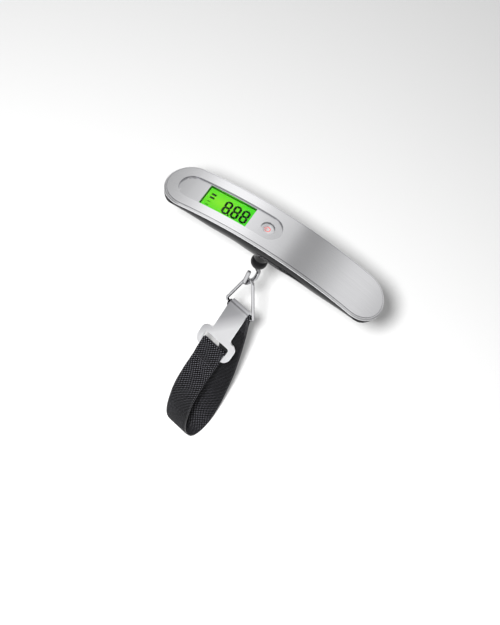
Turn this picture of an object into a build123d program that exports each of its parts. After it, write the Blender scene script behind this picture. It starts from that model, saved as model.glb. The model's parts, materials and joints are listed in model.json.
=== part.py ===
"""Digital luggage scale: an arched handle that carries the display, with a swivelling hook, a triangle
ring, a T-shaped clip plate and a webbing strap hanging under it.

Frame: origin at the crown of the handle's top cover, +X along the handle towards the plain end,
-Y towards the user who reads the display, +Z up through the cover. Millimetres.
"""
import os
from math import asin, cos, degrees, radians, sin, sqrt

from build123d import *

# ---- driving dimensions ------------------------------------------------------------------------
HANDLE_LENGTH = 160.0
HANDLE_WIDTH = 34.0
ARCH_RADIUS = 276.0           # the cover's curve along the handle
HANDLE_DEPTH = 23.0           # crown to belly at the middle
BELLY_POWER = 4               # how long the underside stays flat before it rises to the ends
PLATE_THICKNESS = 0.8         # brushed cover plate
PLATE_INSET = 1.3             # rim left showing around the cover plate
DECK_THICKNESS = 1.4
RIM_HEIGHT = 1.5
PANEL_GROOVE = 0.45           # width and depth of the groove round the display panel
PANEL_POCKET = 0.5            # the display panel lies this far under the cover plate's underside
WALL = 1.8

PANEL_LEFT = -71.3            # stadium-shaped cut-out in the cover plate
PANEL_RIGHT = 1.7
PANEL_HALF_WIDTH = 9.2
DISPLAY_X = -37.0
WINDOW_LENGTH = 33.4
WINDOW_WIDTH = 16.4
BUTTON_X = -7.9
BUTTON_HOLE_RADIUS = 4.65
BUTTON_TOP = 2.5              # the button's edge under the cover
BUTTON_TRAVEL = 0.5

STEM_X = -3.5                 # the hook's swivel axis
STEM_RADIUS = 2.0
BALL_RADIUS = 5.6
BALL_Z = -37.6
HOOK_WIRE = 2.8
HOOK_BOWL_RADIUS = 4.6        # centre line
HOOK_BOWL_Z = -60.3
HOOK_TIP_Z = -49.0            # end of the wire's straight run on the open side
HOOK_YAW = 60.0               # degrees about Z, from +X to the hook's shank side

RING_WIRE = 2.2
RING_HEIGHT = 38.0            # centre line of the apex to centre line of the bar
RING_BASE = 25.6              # sharp corner to sharp corner, centre line
RING_APEX_RADIUS = 3.4
RING_CORNER_RADIUS = 2.6
RING_DROP = 1.95              # apex centre line below the bowl's centre
HANG_YAW = -13.0              # degrees about Z, the ring bar's direction
HANG_LEAN = 4.5               # degrees, the way the ring hangs towards +X

CLIP_THICKNESS = 1.2
CLIP_PITCH = 30.0             # degrees forward from straight down
CLIP_LENGTH = 39.5            # end of the curl to the lower edge
CLIP_NECK_WIDTH = 16.2
CLIP_LUG_WIDTH = 30.2
CLIP_LUG_START = 24.0
CLIP_SLOT_WIDTH = 21.6
CLIP_SLOT_START = 27.6
CLIP_SLOT_END = 34.2

STRAP_WIDTH = 20.0
STRAP_THICKNESS = 1.3
STRAP_TAIL = 24.0             # how far the sewn tail reaches under the ring's bar
CURL_RADIUS = RING_WIRE / 2 + STRAP_THICKNESS + 0.35 + CLIP_THICKNESS / 2
CURL_END = 196.0              # degrees round the bar where the curl stops

BATTERY_X = 44.0
BATTERY_RADIUS = 10.0
BATTERY_THICKNESS = 3.2
BATTERY_TOP_Z = -9.4
HATCH_LENGTH = 24.0
HATCH_WIDTH = 21.0
HOLDER_RISE = 0.6             # holder's edge over the cell's face
LEAD_RADIUS = 0.4

SCREW_X = 66.0                # housing screws, which go in from below
SCREW_Y = 5.5
SCREW_SHAFT_RADIUS = 1.1
SCREW_SEAT_Z = -15.4
SCREW_TIP_Z = -9.6

LENS_TOP = 1.5                # depths under the cover in the display's own frame
LENS_BOTTOM = 2.3
LCD_TOP = 2.9
LCD_BOTTOM = 4.2
GUIDE_BOTTOM = 6.3
BOARD_TOP = 7.2
BOARD_BOTTOM = 8.2
LCD_LENGTH = 35.4
LCD_WIDTH = 19.0
BOARD_LENGTH = 40.6
BOARD_WIDTH = 22.0
BOARD_POST_X = 19.1
BOARD_POST_Y = 7.6
SWITCH_BOARD_TOP = 8.0        # depths in the button's own frame
SWITCH_BOARD_SIDE = 14.8
SWITCH_TOP = 5.0

BEAM_LENGTH = 56.0
BEAM_WIDTH = 11.0
BEAM_TOP = -13.6
BEAM_BOTTOM = -18.6
BEAM_SCREW_REACH = 24.0
BEAM_SCREW_RADIUS = 1.5
BEAM_SCREW_TIP = -21.2
BUSH_RADIUS = 3.3
NECK_BOTTOM = -31.6
GAUGE_X = 12.0

RUNNING_GAP = 0.05            # radial clearance of a turning shaft
SEAM_GAP = 0.15               # around a piece that lifts or presses
RIM_TOP = 0.25                # the rim starts this far under the crown surface
PLUG_SETBACK = 6.0            # the deck's plug stops short of the lower housing's thin ends
PLATE_GAP = 0.25              # groove between the rim and the cover plate
REACH = 200.0                 # longer than any piece, for cutting tools
TRIM = 0.05                   # overshoot of a shape that a second one trims

DECK_BOTTOM = PLATE_THICKNESS + DECK_THICKNESS
SHELL_INSET = 0.35            # the lower housing stands in from the rim
HULL_HALF_WIDTH = HANDLE_WIDTH / 2 - SHELL_INSET
SIDE_PLANE = Plane(origin=(0, 0, 0), x_dir=(0, 1, 0), z_dir=(1, 0, 0))


# ---- shared shapes -----------------------------------------------------------------------------
def stadium_prism(length, width, low, high, x=0.0):
    """A rounded-end bar standing between two heights."""
    outline = SlotOverall(length, width) if length > width else Circle(width / 2)
    return Pos(x, 0, low) * extrude(outline, high - low)


def under_arch(depth):
    """Everything below the cover's curve moved down by depth."""
    disc = Rot(90, 0, 0) * Cylinder(ARCH_RADIUS - depth, REACH)
    return Pos(0, 0, -ARCH_RADIUS) * disc


def arched_plate(outline, top, bottom):
    """The slice of a standing prism between two depths under the cover's curve."""
    return (outline & under_arch(top)) - under_arch(bottom)


def arch_z(x, depth=0.0):
    """Height of the cover's curve at x, moved down by depth."""
    return sqrt((ARCH_RADIUS - depth) ** 2 - x ** 2) - ARCH_RADIUS


def belly_z(x):
    """Height of the underside's lowest line at x."""
    share = min(abs(x) / (HANDLE_LENGTH / 2), 1.0) ** BELLY_POWER
    return -HANDLE_DEPTH * (1 - share) ** (1 / BELLY_POWER)


def on_cover(x):
    """A local frame on the cover's curve: X along the handle, Z out of the cover."""
    return Pos(x, 0, arch_z(x)) * Rot(0, degrees(asin(x / ARCH_RADIUS)), 0)


def block(length, width, low, high, x=0.0, y=0.0):
    """A box between two heights."""
    return Pos(x, y, (low + high) / 2) * Box(length, width, high - low)


def post(radius, low, high, x=0.0, y=0.0):
    """A round bar between two heights."""
    return Pos(x, y, (low + high) / 2) * Cylinder(radius, high - low)


def wire(path_points, radii, radius):
    """A round wire along straight runs joined by tangent arcs."""
    path = FilletPolyline(*path_points, radius=radii)
    section = Plane(origin=path @ 0, z_dir=path % 0) * Circle(radius)
    return sweep(section, path=path)


def save(name, shape):
    """Write one sub-part to its STEP file."""
    solids = shape.solids() if not isinstance(shape, list) else shape
    whole = solids[0] if len(solids) == 1 else Compound(children=list(solids))
    export_step(whole, os.path.join("parts", name + ".step"))


# ---- handle: cover, top shell, lower housing ------------------------------------------------------
def panel_outline(grow=0.0):
    """Plan shape of the cover plate's display cut-out."""
    middle = (PANEL_LEFT + PANEL_RIGHT) / 2
    length = PANEL_RIGHT - PANEL_LEFT + 2 * grow
    return stadium_prism(length, 2 * (PANEL_HALF_WIDTH + grow), -REACH / 2, REACH / 2, middle)


def screw_places():
    """Plan places of the four housing screws."""
    return [(sx * SCREW_X, sy * SCREW_Y) for sx in (-1, 1) for sy in (-1, 1)]


def cover_plate():
    """Brushed metal skin, open around the display panel."""
    size = 2 * (PLATE_INSET + PLATE_GAP)
    outline = stadium_prism(HANDLE_LENGTH - size, HANDLE_WIDTH - size, -REACH / 2, REACH / 2)
    return arched_plate(outline - panel_outline(), 0, PLATE_THICKNESS)


def top_shell():
    """Moulded frame under the cover plate: bright rim, deck, display window, button hole and bosses."""
    chamfer_size = 0.7
    boss_radius = 2.7
    outer = stadium_prism(HANDLE_LENGTH, HANDLE_WIDTH, -REACH / 2, REACH / 2)
    shell = arched_plate(outer, RIM_TOP, RIM_HEIGHT)
    middle = (RIM_TOP + RIM_HEIGHT) / 2
    top_edges = [e for e in shell.edges() if e.center().Z > arch_z(e.center().X, middle)]
    shell = chamfer(top_edges, chamfer_size)
    lip = 2 * PLATE_INSET
    seat = stadium_prism(HANDLE_LENGTH - lip, HANDLE_WIDTH - lip, -REACH / 2, REACH / 2)
    shell -= arched_plate(seat, -1.0, PLATE_THICKNESS)
    inset = 2 * (SHELL_INSET + WALL + SEAM_GAP)
    plug_length = HANDLE_LENGTH - inset - 2 * PLUG_SETBACK
    plug = stadium_prism(plug_length, HANDLE_WIDTH - inset, -REACH / 2, REACH / 2)
    shell += arched_plate(plug, RIM_HEIGHT - TRIM, DECK_BOTTOM)
    shell -= arched_plate(panel_outline(), 0, PLATE_THICKNESS + PANEL_POCKET)
    groove = panel_outline() - panel_outline(-PANEL_GROOVE)
    shell -= arched_plate(groove, 0, PLATE_THICKNESS + PANEL_POCKET + PANEL_GROOVE)
    display = on_cover(DISPLAY_X)
    button = on_cover(BUTTON_X)
    for x, y in screw_places():
        shell += post(boss_radius, arch_z(x) - 6.0, arch_z(x, DECK_BOTTOM) + 0.4, x, y)
    for sx in (-1, 1):
        for sy in (-1, 1):
            place = (sx * BOARD_POST_X, sy * BOARD_POST_Y)
            shell += display * post(1.1, -BOARD_TOP, -DECK_BOTTOM + 0.1, *place)
            shell += button * post(1.0, -SWITCH_BOARD_TOP, -DECK_BOTTOM + 0.3, sx * 6.2, sy * 6.2)
    holder_top = BATTERY_TOP_Z + HOLDER_RISE
    for sy in (-1, 1):
        shell += post(1.3, holder_top, arch_z(BATTERY_X, DECK_BOTTOM) + 0.4, BATTERY_X, sy * 10.85)
    shell -= display * block(WINDOW_LENGTH, WINDOW_WIDTH, -4.0, 2.0)
    shell -= button * post(BUTTON_HOLE_RADIUS, -5.0, 2.0)
    for x, y in screw_places():
        shell -= post(SCREW_SHAFT_RADIUS, arch_z(x) - 7.0, SCREW_TIP_Z, x, y)
    return shell


def hull_solid(inset):
    """Boat-shaped solid under the rim, with half-oval cross-sections, inset from the outer skin."""
    reach = HANDLE_LENGTH / 2 - 2 * inset
    shares = (0.0, 0.2, 0.42, 0.62, 0.78, 0.88, 0.95, 1.0)
    stations = [-reach * s for s in shares[:0:-1]] + [reach * s for s in shares]
    sections = []
    for x in stations:
        top = arch_z(x, RIM_HEIGHT)
        depth = top - belly_z(x) - inset
        half = HULL_HALF_WIDTH - inset + TRIM
        plane = Plane(origin=(x, 0, top), x_dir=(0, 1, 0), z_dir=(1, 0, 0))
        oval = EllipticalCenterArc((0, 0), half, max(depth, 0.5), start_angle=180, arc_size=180)
        sides = Polyline((half, 0), (half, 2), (-half, 2), (-half, 0))
        sections.append(plane * make_face([oval, sides]))
    body = loft(sections)
    length = HANDLE_LENGTH - 2 * (SHELL_INSET + inset)
    return body & stadium_prism(length, 2 * (HULL_HALF_WIDTH - inset), -REACH / 2, REACH / 2)


def hatch_prism(gap=0.0):
    """Upright block that the battery hatch is cut along."""
    return block(HATCH_LENGTH - 2 * gap, HATCH_WIDTH - 2 * gap, -30.0, -13.2, BATTERY_X)


def lower_housing():
    """Moulded lower shell with load-cell pillars, screw pads and the neck that the hook comes out of."""
    outer = hull_solid(0) & under_arch(RIM_HEIGHT)
    shell = outer - hull_solid(WALL)
    neck_height = BEAM_BOTTOM - NECK_BOTTOM - 1.0
    shell += Pos(STEM_X, 0, NECK_BOTTOM + neck_height / 2) * Cone(5.2, 6.4, neck_height)
    for x in beam_screw_places():
        shell += block(9.0, 10.0, belly_z(x) + WALL / 2, BEAM_BOTTOM, x)
    for x, y in screw_places():
        shell += post(3.5, belly_z(x) + 1.2, arch_z(x) - 6.0, x, y)
    for x, y in screw_places():
        shell -= post(2.15, -30.0, SCREW_SEAT_Z, x, y)
        shell -= post(SCREW_SHAFT_RADIUS, SCREW_SEAT_Z - 1.0, -5.0, x, y)
    for x in beam_screw_places():
        shell -= post(BEAM_SCREW_RADIUS, BEAM_SCREW_TIP, 0, x)
    shell -= post(BUSH_RADIUS, -REACH, 0, STEM_X)
    return shell - hatch_prism()


def battery_hatch():
    """The piece of the lower shell that lifts out under the battery, with a thumb groove."""
    shell = (hull_solid(0) & under_arch(RIM_HEIGHT)) - hull_solid(WALL)
    hatch = shell & hatch_prism(SEAM_GAP)
    groove_x = BATTERY_X - HATCH_LENGTH / 2 + 4.0
    for i in range(3):
        bar = Rot(90, 0, 0) * Cylinder(0.7, 9.0)
        hatch -= Pos(groove_x + 1.9 * i, 0, belly_z(groove_x + 1.9 * i) - 0.2) * bar
    return hatch


def housing_screws():
    """Four pan-head screws that close the handle from below."""
    screws = []
    for x, y in screw_places():
        head = post(2.0, SCREW_SEAT_Z - 1.5, SCREW_SEAT_Z, x, y)
        head -= block(0.6, 2.6, SCREW_SEAT_Z - 1.5, SCREW_SEAT_Z - 0.9, x, y)
        head -= block(2.6, 0.6, SCREW_SEAT_Z - 1.5, SCREW_SEAT_Z - 0.9, x, y)
        screws.append((head + post(SCREW_SHAFT_RADIUS, SCREW_SEAT_Z, SCREW_TIP_Z, x, y)).solid())
    return screws


# ---- display and electronics -----------------------------------------------------------------------

def window_lens():
    """Clear window over the display."""
    gap = 2 * SEAM_GAP / 3
    return on_cover(DISPLAY_X) * block(WINDOW_LENGTH - gap, WINDOW_WIDTH - gap, -LENS_BOTTOM, -LENS_TOP)


def lcd_glass():
    """Two glass sheets of the liquid-crystal cell, the rear one with the contact ledge."""
    front = block(LCD_LENGTH, LCD_WIDTH - 2.0, -(LCD_TOP + LCD_BOTTOM) / 2, -LCD_TOP, 0, -1.0)
    rear = block(LCD_LENGTH, LCD_WIDTH, -LCD_BOTTOM, -(LCD_TOP + LCD_BOTTOM) / 2)
    return on_cover(DISPLAY_X) * (front + rear)


def backlight_guide():
    """Edge-lit light guide behind the glass, with the lamp's pocket at one end."""
    guide = block(LCD_LENGTH - 2.0, 16.4, -GUIDE_BOTTOM, -LCD_BOTTOM, 0, -0.6)
    return on_cover(DISPLAY_X) * (guide - block(2.2, 3.4, -GUIDE_BOTTOM, -LCD_BOTTOM, 16.0, -0.6))


def backlight_lamp():
    """Side-firing lamp in the light guide's pocket."""
    return on_cover(DISPLAY_X) * block(1.6, 3.0, -GUIDE_BOTTOM - 0.9, -LCD_BOTTOM - 0.4, 16.0, -0.6)


def display_connector():
    """Striped rubber strip that joins the glass to the board."""
    return on_cover(DISPLAY_X) * block(LCD_LENGTH - 3.0, 1.5, -BOARD_TOP, -LCD_BOTTOM, 0, LCD_WIDTH / 2 - 0.9)


def main_board():
    """Printed circuit board under the display."""
    board = block(BOARD_LENGTH, BOARD_WIDTH, -BOARD_BOTTOM, -BOARD_TOP)
    return on_cover(DISPLAY_X) * board


def control_chip():
    """Moulded controller with its leads, on the board's underside."""
    body = block(9.0, 7.0, -BOARD_BOTTOM - 1.5, -BOARD_BOTTOM - 0.2, -4.0, 0)
    pads = body
    for i in range(8):
        for sy in (-1, 1):
            pads += block(0.5, 1.4, -BOARD_BOTTOM - 0.6, -BOARD_BOTTOM, -7.5 + i, sy * 4.1)
    return on_cover(DISPLAY_X) * pads


def switch_board():
    """Small board that carries the power switch."""
    side = SWITCH_BOARD_SIDE
    return on_cover(BUTTON_X) * block(side, side, -SWITCH_BOARD_TOP - 1.0, -SWITCH_BOARD_TOP)


def switch_body():
    """Square body of the tactile switch, open for its plunger."""
    body = block(6.2, 6.2, -SWITCH_BOARD_TOP, -SWITCH_TOP)
    return on_cover(BUTTON_X) * (body - post(1.7, -SWITCH_TOP - 1.6, -SWITCH_TOP + 1.0))


def switch_plunger():
    """Plunger of the tactile switch, which moves with the button."""
    return on_cover(BUTTON_X) * post(1.6, -SWITCH_TOP - 0.9, -SWITCH_TOP + 0.8)


def power_button():
    """Dished round button with a retaining flange and a stem down to the switch."""
    cap = post(BUTTON_HOLE_RADIUS - SEAM_GAP, -3.4, -BUTTON_TOP)
    flange = post(5.5, -3.7, -2.9)
    stem = post(1.5, -SWITCH_TOP + 0.8, -3.2)
    dish = Pos(0, 0, -BUTTON_TOP + 13.6) * Sphere(14.0)
    return on_cover(BUTTON_X) * (cap + flange + stem - dish)


# ---- load cell and swivel ---------------------------------------------------------------------------

def beam_screw_places():
    """Places along X of the load cell's two fixing screws."""
    return [STEM_X - BEAM_SCREW_REACH, STEM_X + BEAM_SCREW_REACH]


def load_cell():
    """Aluminium bending beam held at both ends and pulled down at the middle."""
    beam = block(BEAM_LENGTH, BEAM_WIDTH, BEAM_BOTTOM, BEAM_TOP, STEM_X)
    for sx in (-1, 1):
        window = Rot(90, 0, 0) * (Pos(-2.6, 0, 0) * Cylinder(1.9, 40) + Pos(2.6, 0, 0) * Cylinder(1.9, 40))
        window += Box(5.2, 40, 1.2)
        beam -= Pos(STEM_X + sx * GAUGE_X, 0, (BEAM_TOP + BEAM_BOTTOM) / 2) * window
    for x in beam_screw_places():
        beam -= post(BEAM_SCREW_RADIUS, -REACH, 0, x)
    return beam - post(STEM_RADIUS + RUNNING_GAP, -REACH, 0, STEM_X)


def strain_gauges():
    """Four foil gauges bonded over the beam's thin places."""
    gauges = []
    for sx in (-1, 1):
        for sy in (-1, 1):
            gauges.append(block(5.0, 3.4, BEAM_TOP, BEAM_TOP + 0.2, STEM_X + sx * GAUGE_X, sy * 2.4).solid())
    return gauges


def load_cell_screws():
    """Two cap screws that hold the beam's ends down on the housing's pillars."""
    screws = []
    for x in beam_screw_places():
        head = post(2.7, BEAM_TOP, BEAM_TOP + 2.4, x)
        socket = Pos(x, 0, BEAM_TOP + 1.2) * extrude(RegularPolygon(1.4, 6), 1.2)
        screws.append((head + post(BEAM_SCREW_RADIUS, BEAM_SCREW_TIP, BEAM_TOP, x) - socket).solid())
    return screws


def stem_bush():
    """Nylon bush in the neck that guides the turning stem."""
    tube = post(BUSH_RADIUS, NECK_BOTTOM, BEAM_BOTTOM - 1.2, STEM_X)
    return tube - post(STEM_RADIUS + RUNNING_GAP, -REACH, 0, STEM_X)


def stem_washer():
    """Hardened washer between the beam and the turning nut."""
    return post(3.9, BEAM_TOP, BEAM_TOP + 0.7, STEM_X) - post(STEM_RADIUS + RUNNING_GAP, -REACH, 0, STEM_X)


def stem_nut():
    """Lock nut at the stem's top, which carries the load on the washer."""
    nut = Pos(STEM_X, 0, BEAM_TOP + 0.75) * extrude(RegularPolygon(3.7, 6), 2.4)
    return nut - post(STEM_RADIUS, -REACH, 0, STEM_X)


def swivel_stem():
    """Steel stem from the nut down into the ball, with a shoulder under the neck."""
    stem = post(STEM_RADIUS, BALL_Z - 0.5, BEAM_TOP + 3.5, STEM_X)
    return stem + post(3.4, NECK_BOTTOM - 0.85, NECK_BOTTOM - 0.05, STEM_X)


def swivel_ball():
    """Moulded ball that joins the stem to the hook's wire."""
    ball = Pos(STEM_X, 0, BALL_Z) * Sphere(BALL_RADIUS)
    ball -= post(3.4, NECK_BOTTOM - 0.85, 0, STEM_X)
    ball -= post(STEM_RADIUS, BALL_Z - 0.5, 0, STEM_X)
    return ball - post(HOOK_WIRE / 2, -REACH, BALL_Z - 0.5, STEM_X)


def hook_frame():
    """Upright plane through the swivel axis that the hook's wire lies in."""
    return Pos(STEM_X, 0, 0) * Rot(0, 0, HOOK_YAW)


def hook():
    """Open hook bent from polished wire, with a rounded free end."""
    bowl = HOOK_BOWL_RADIUS
    bottom = HOOK_BOWL_Z - bowl
    points = [(0, 0, BALL_Z - 0.5), (0, 0, -45.0), (bowl, 0, -54.0), (bowl, 0, bottom), (-bowl, 0, bottom),
              (-bowl, 0, HOOK_TIP_Z)]
    corner = bowl - 0.02
    body = wire(points, [7.0, 7.0, corner, corner], HOOK_WIRE / 2)
    body += Pos(-bowl, 0, HOOK_TIP_Z) * Sphere(HOOK_WIRE / 2)
    return hook_frame() * body


# ---- ring, clip plate and strap -----------------------------------------------------------------------
def hang_frame():
    """Local frame of the hanging pieces: origin on the ring bar's middle, X along the bar, Z to the apex."""
    turn = Rot(0, 0, HANG_YAW) * Rot(0, -HANG_LEAN, 0)
    apex = turn * Pos(0, 0, RING_HEIGHT)
    place = Vector(STEM_X, 0, HOOK_BOWL_Z - RING_DROP) - apex.position
    return Pos(place.X, place.Y, place.Z) * turn


def triangle_ring():
    """Triangular ring of round wire: two legs from a small apex bend to a straight bar."""
    half_angle = asin((RING_BASE / 2 - RING_APEX_RADIUS) / RING_HEIGHT)
    for _ in range(20):
        rise = RING_HEIGHT - RING_APEX_RADIUS + RING_APEX_RADIUS / sin(half_angle)
        half_angle = asin(RING_BASE / 2 / sqrt(rise ** 2 + (RING_BASE / 2) ** 2))
    rise = RING_HEIGHT - RING_APEX_RADIUS + RING_APEX_RADIUS / sin(half_angle)
    corner = RING_BASE / 2
    points = [(0.2, 0, 0), (corner, 0, 0), (0, 0, rise), (-corner, 0, 0), (-0.2, 0, 0)]
    loop = wire(points, [RING_CORNER_RADIUS, RING_APEX_RADIUS, RING_CORNER_RADIUS], RING_WIRE / 2)
    bar = Rot(0, 90, 0) * Cylinder(RING_WIRE / 2, 2.0)
    return hang_frame() * (loop + bar)


def clip_axes():
    """Plate direction and outward normal of the clip, as (forward, down) pairs."""
    pitch = radians(CLIP_PITCH)
    return (sin(pitch), cos(pitch)), (cos(pitch), -sin(pitch))


def side_point(forward, down):
    """A point of the hanging pieces' side view in the local XZ sketch plane: forward is -Y, down is -Z."""
    return (-forward, -down)


def across(face, width):
    """Extrude a side-view face to both sides along the bar."""
    return extrude(SIDE_PLANE * face, width / 2, both=True)


def clip_point(distance, offset=0.0):
    """Side-view point on the clip plate: distance down the plate and offset out of its middle plane."""
    along, out = clip_axes()
    start = (CURL_RADIUS * out[0], CURL_RADIUS * out[1])
    return tuple(start[i] + distance * along[i] + offset * out[i] for i in (0, 1))


def clip_outline():
    """Flat T of the clip: the neck flares into a cross piece with round ends, Y running up the plate."""
    neck, lug = CLIP_NECK_WIDTH / 2, CLIP_LUG_WIDTH / 2
    shoulder = 1.2 - CLIP_LUG_START
    corners = [(neck, 0.1), (neck, shoulder), (lug, shoulder), (lug, -CLIP_LENGTH), (0.0, -CLIP_LENGTH)]
    right = FilletPolyline(*corners, radius=[2.2, 4.6, 6.4])
    left = mirror(right, about=Plane.YZ)
    return make_face([right, left, Line((-neck, 0.1), (neck, 0.1))])


def clip_plate():
    """T-shaped plate: a curl that hooks over the ring's bar, a neck, and a slotted cross piece."""
    half = CLIP_THICKNESS / 2
    outer, inner = CURL_RADIUS + half, CURL_RADIUS - half
    curl = Circle(outer) - Circle(inner)
    start, stop = CLIP_PITCH, CURL_END
    middle = (start + stop) / 2
    rays = [(0, 0)] + [(-3 * outer * cos(radians(a)), 3 * outer * sin(radians(a)))
                       for a in (start, (start + middle) / 2, middle, (stop + middle) / 2, stop)]
    curl &= make_face(Polyline(*rays, close=True))
    curl_solid = across(curl, CLIP_NECK_WIDTH)
    corners = [(0, -half), (0, half), (CLIP_LENGTH, half), (CLIP_LENGTH, -half)]
    side_view = Polyline(*[side_point(*clip_point(*corner)) for corner in corners], close=True)
    slab = across(make_face(side_view), CLIP_LUG_WIDTH + 4)
    origin = clip_point(0)
    _, out = clip_axes()
    plane = Plane(origin=(0, -origin[0], -origin[1]), x_dir=(1, 0, 0), z_dir=(0, -out[0], -out[1]))
    outline = clip_outline()
    slot_height = CLIP_SLOT_END - CLIP_SLOT_START
    slot_middle = -(CLIP_SLOT_START + slot_height / 2)
    outline -= Pos(0, slot_middle) * RectangleRounded(CLIP_SLOT_WIDTH, slot_height, 1.6)
    prism = extrude(plane * outline, 5.0, both=True)
    plate = slab & prism
    return hang_frame() * (curl_solid + plate)


def strap_points():
    """Side-view centre line of the loop: down the back from the bar, and up the front to the clip."""
    back = [(-1.15, 1.9), (-1.6, 8.0), (-4.2, 30.0), (-6.4, 62.0), (-7.0, 100.0), (-3.5, 133.0), (6.0, 150.0)]
    front = [(23.0, 147.0), (38.0, 123.0), (45.0, 92.0), (43.5, 65.0), (35.5, 49.3)]
    bottom = ((back[-1][0] + front[0][0]) / 2, (back[-1][1] + front[0][1]) / 2)
    return back, bottom, front


def corner_radii(points):
    """Comfortable corner radii of a centre line: 0.45 of the shorter run over tan of half the turn."""
    radii = []
    for before, here, after in zip(points, points[1:], points[2:]):
        first = Vector(here[0] - before[0], here[1] - before[1])
        second = Vector(after[0] - here[0], after[1] - here[1])
        half_turn = radians(first.get_angle(second)) / 2
        radii.append(0.45 * min(first.length, second.length) * cos(half_turn) / sin(half_turn))
    return radii


def band_edge(points, radii, side):
    """One edge of a strip of webbing: the centre line moved sideways by half its thickness."""
    shift = side * STRAP_THICKNESS / 2
    runs = [(Vector(*b) - Vector(*a)).normalized() for a, b in zip(points, points[1:])]
    normals = [Vector(-run.Y, run.X) for run in runs]
    corners = [Vector(*points[0]) + normals[0] * shift]
    for here, before, after in zip(points[1:-1], normals, normals[1:]):
        corners.append(Vector(*here) + (before + after) * (shift / (1 + before.dot(after))))
    corners.append(Vector(*points[-1]) + normals[-1] * shift)
    turns = [first.X * second.Y - first.Y * second.X for first, second in zip(runs, runs[1:])]
    bends = [radius - shift if turn > 0 else radius + shift for radius, turn in zip(radii, turns)]
    return FilletPolyline(*corners, radius=bends)


def band(points, radii):
    """Side view of a strip of webbing of even thickness along a centre line."""
    places = [side_point(*p) for p in points]
    left, right = band_edge(places, radii, 1), band_edge(places, radii, -1)
    return make_face([left, right, Line(left @ 0, right @ 0), Line(left @ 1, right @ 1)])


def strap_back():
    """Back half of the loop, with its end folded round the ring's bar and sewn down."""
    back, bottom, _ = strap_points()
    run = back + [(bottom[0] - SEAM_GAP, bottom[1])]
    inner = RING_WIRE / 2 + 0.1
    eye = Circle(inner + STRAP_THICKNESS) - Circle(inner)
    tail = [(1.15, 1.9), (-0.1, 8.0), (-2.0, STRAP_TAIL)]
    strip = across(band(run, corner_radii(run)), STRAP_WIDTH)
    strip += across(band(tail, corner_radii(tail)), STRAP_WIDTH)
    strip += across(eye, STRAP_WIDTH)
    strip -= Rot(0, 90, 0) * Cylinder(inner, STRAP_WIDTH + 2)
    return hang_frame() * strip


def strap_front():
    """Front half of the loop, folded through the clip's slot and sewn to itself."""
    _, bottom, front = strap_points()
    stand_off = CLIP_THICKNESS / 2 + 0.12 + STRAP_THICKNESS / 2
    fold = CLIP_SLOT_END - 0.42 - STRAP_THICKNESS / 2
    layer = STRAP_THICKNESS / 2 + 0.02
    tail = [(32.2, 48.6), clip_point(47.4, -layer)]
    tail += [clip_point(43.0, -stand_off), clip_point(fold, -stand_off)]
    outer = [clip_point(fold, stand_off), clip_point(43.0, stand_off), clip_point(47.4, layer)]
    outer += front[::-1] + [(bottom[0] + SEAM_GAP, bottom[1])]
    run = tail + outer
    radii = corner_radii(run)
    radii[2] = radii[3] = stand_off - 0.02
    return hang_frame() * across(band(run, radii), STRAP_WIDTH)


def stitch_rows(places, spread):
    """Rows of short thread bars lying across the webbing, as (forward, down, slope) places."""
    count = 9
    rows = []
    for forward, down, slope in places:
        for i in range(count):
            x = (i - (count - 1) / 2) * spread / (count - 1)
            bar = Box(1.5, 0.5, 0.5)
            rows.append((hang_frame() * Pos(x, -forward, -down) * Rot(slope, 0, 0) * bar).solid())
    return rows


def strap_back_stitching():
    """Thread that closes the fold round the ring's bar."""
    return stitch_rows([(0.95, 7.6, -7), (-1.05, 21.0, -7)], 16.0)


def strap_front_stitching():
    """Thread that closes the fold round the clip's cross piece."""
    return stitch_rows([(*clip_point(46.6, 1.42), CLIP_PITCH + 4), (33.2, 45.5, 37)], 16.0)


# ---- battery ------------------------------------------------------------------------------------------
def coin_cell():
    """Coin cell with its stepped rim, the smaller can face down."""
    top = BATTERY_TOP_Z
    can = post(BATTERY_RADIUS, top - BATTERY_THICKNESS + 0.4, top, BATTERY_X)
    return can + post(BATTERY_RADIUS - 1.1, top - BATTERY_THICKNESS, top - BATTERY_THICKNESS + 0.4, BATTERY_X)


def battery_holder():
    """Ring-shaped holder round the cell, open at one side for the contact."""
    low, high = BATTERY_TOP_Z - BATTERY_THICKNESS - 0.2, BATTERY_TOP_Z + HOLDER_RISE
    ring = post(BATTERY_RADIUS + 1.6, low, high, BATTERY_X) - post(BATTERY_RADIUS + 0.1, -REACH, 0, BATTERY_X)
    return ring - block(6.0, 7.0, low - 1, high + 1, BATTERY_X - BATTERY_RADIUS)


def contact_top():
    """Spring strip on the cell's flat face."""
    top = BATTERY_TOP_Z
    strip = block(14.0, 5.0, top, top + 0.3, BATTERY_X - 2.0)
    return strip + block(5.0, 5.0, top, top + 0.3, BATTERY_X - 10.5)


def contact_side():
    """Bent strip that touches the cell's rim in the holder's gap."""
    low = BATTERY_TOP_Z - BATTERY_THICKNESS + 0.5
    blade = block(0.4, 4.0, low, BATTERY_TOP_Z - 0.2, BATTERY_X - BATTERY_RADIUS - 0.2)
    return blade + block(3.0, 4.0, low, low + 0.3, BATTERY_X - BATTERY_RADIUS - 1.9)


def inner_wire(start, points):
    """One insulated wire along a route of straight runs and tangent arcs."""
    route = [start] + points
    radii = []
    for before, here, after in zip(route, route[1:], route[2:]):
        first, second = Vector(*here) - Vector(*before), Vector(*after) - Vector(*here)
        half_turn = radians(first.get_angle(second)) / 2
        radii.append(0.45 * min(first.length, second.length) * cos(half_turn) / sin(half_turn))
    return wire(route, radii, LEAD_RADIUS)


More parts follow.
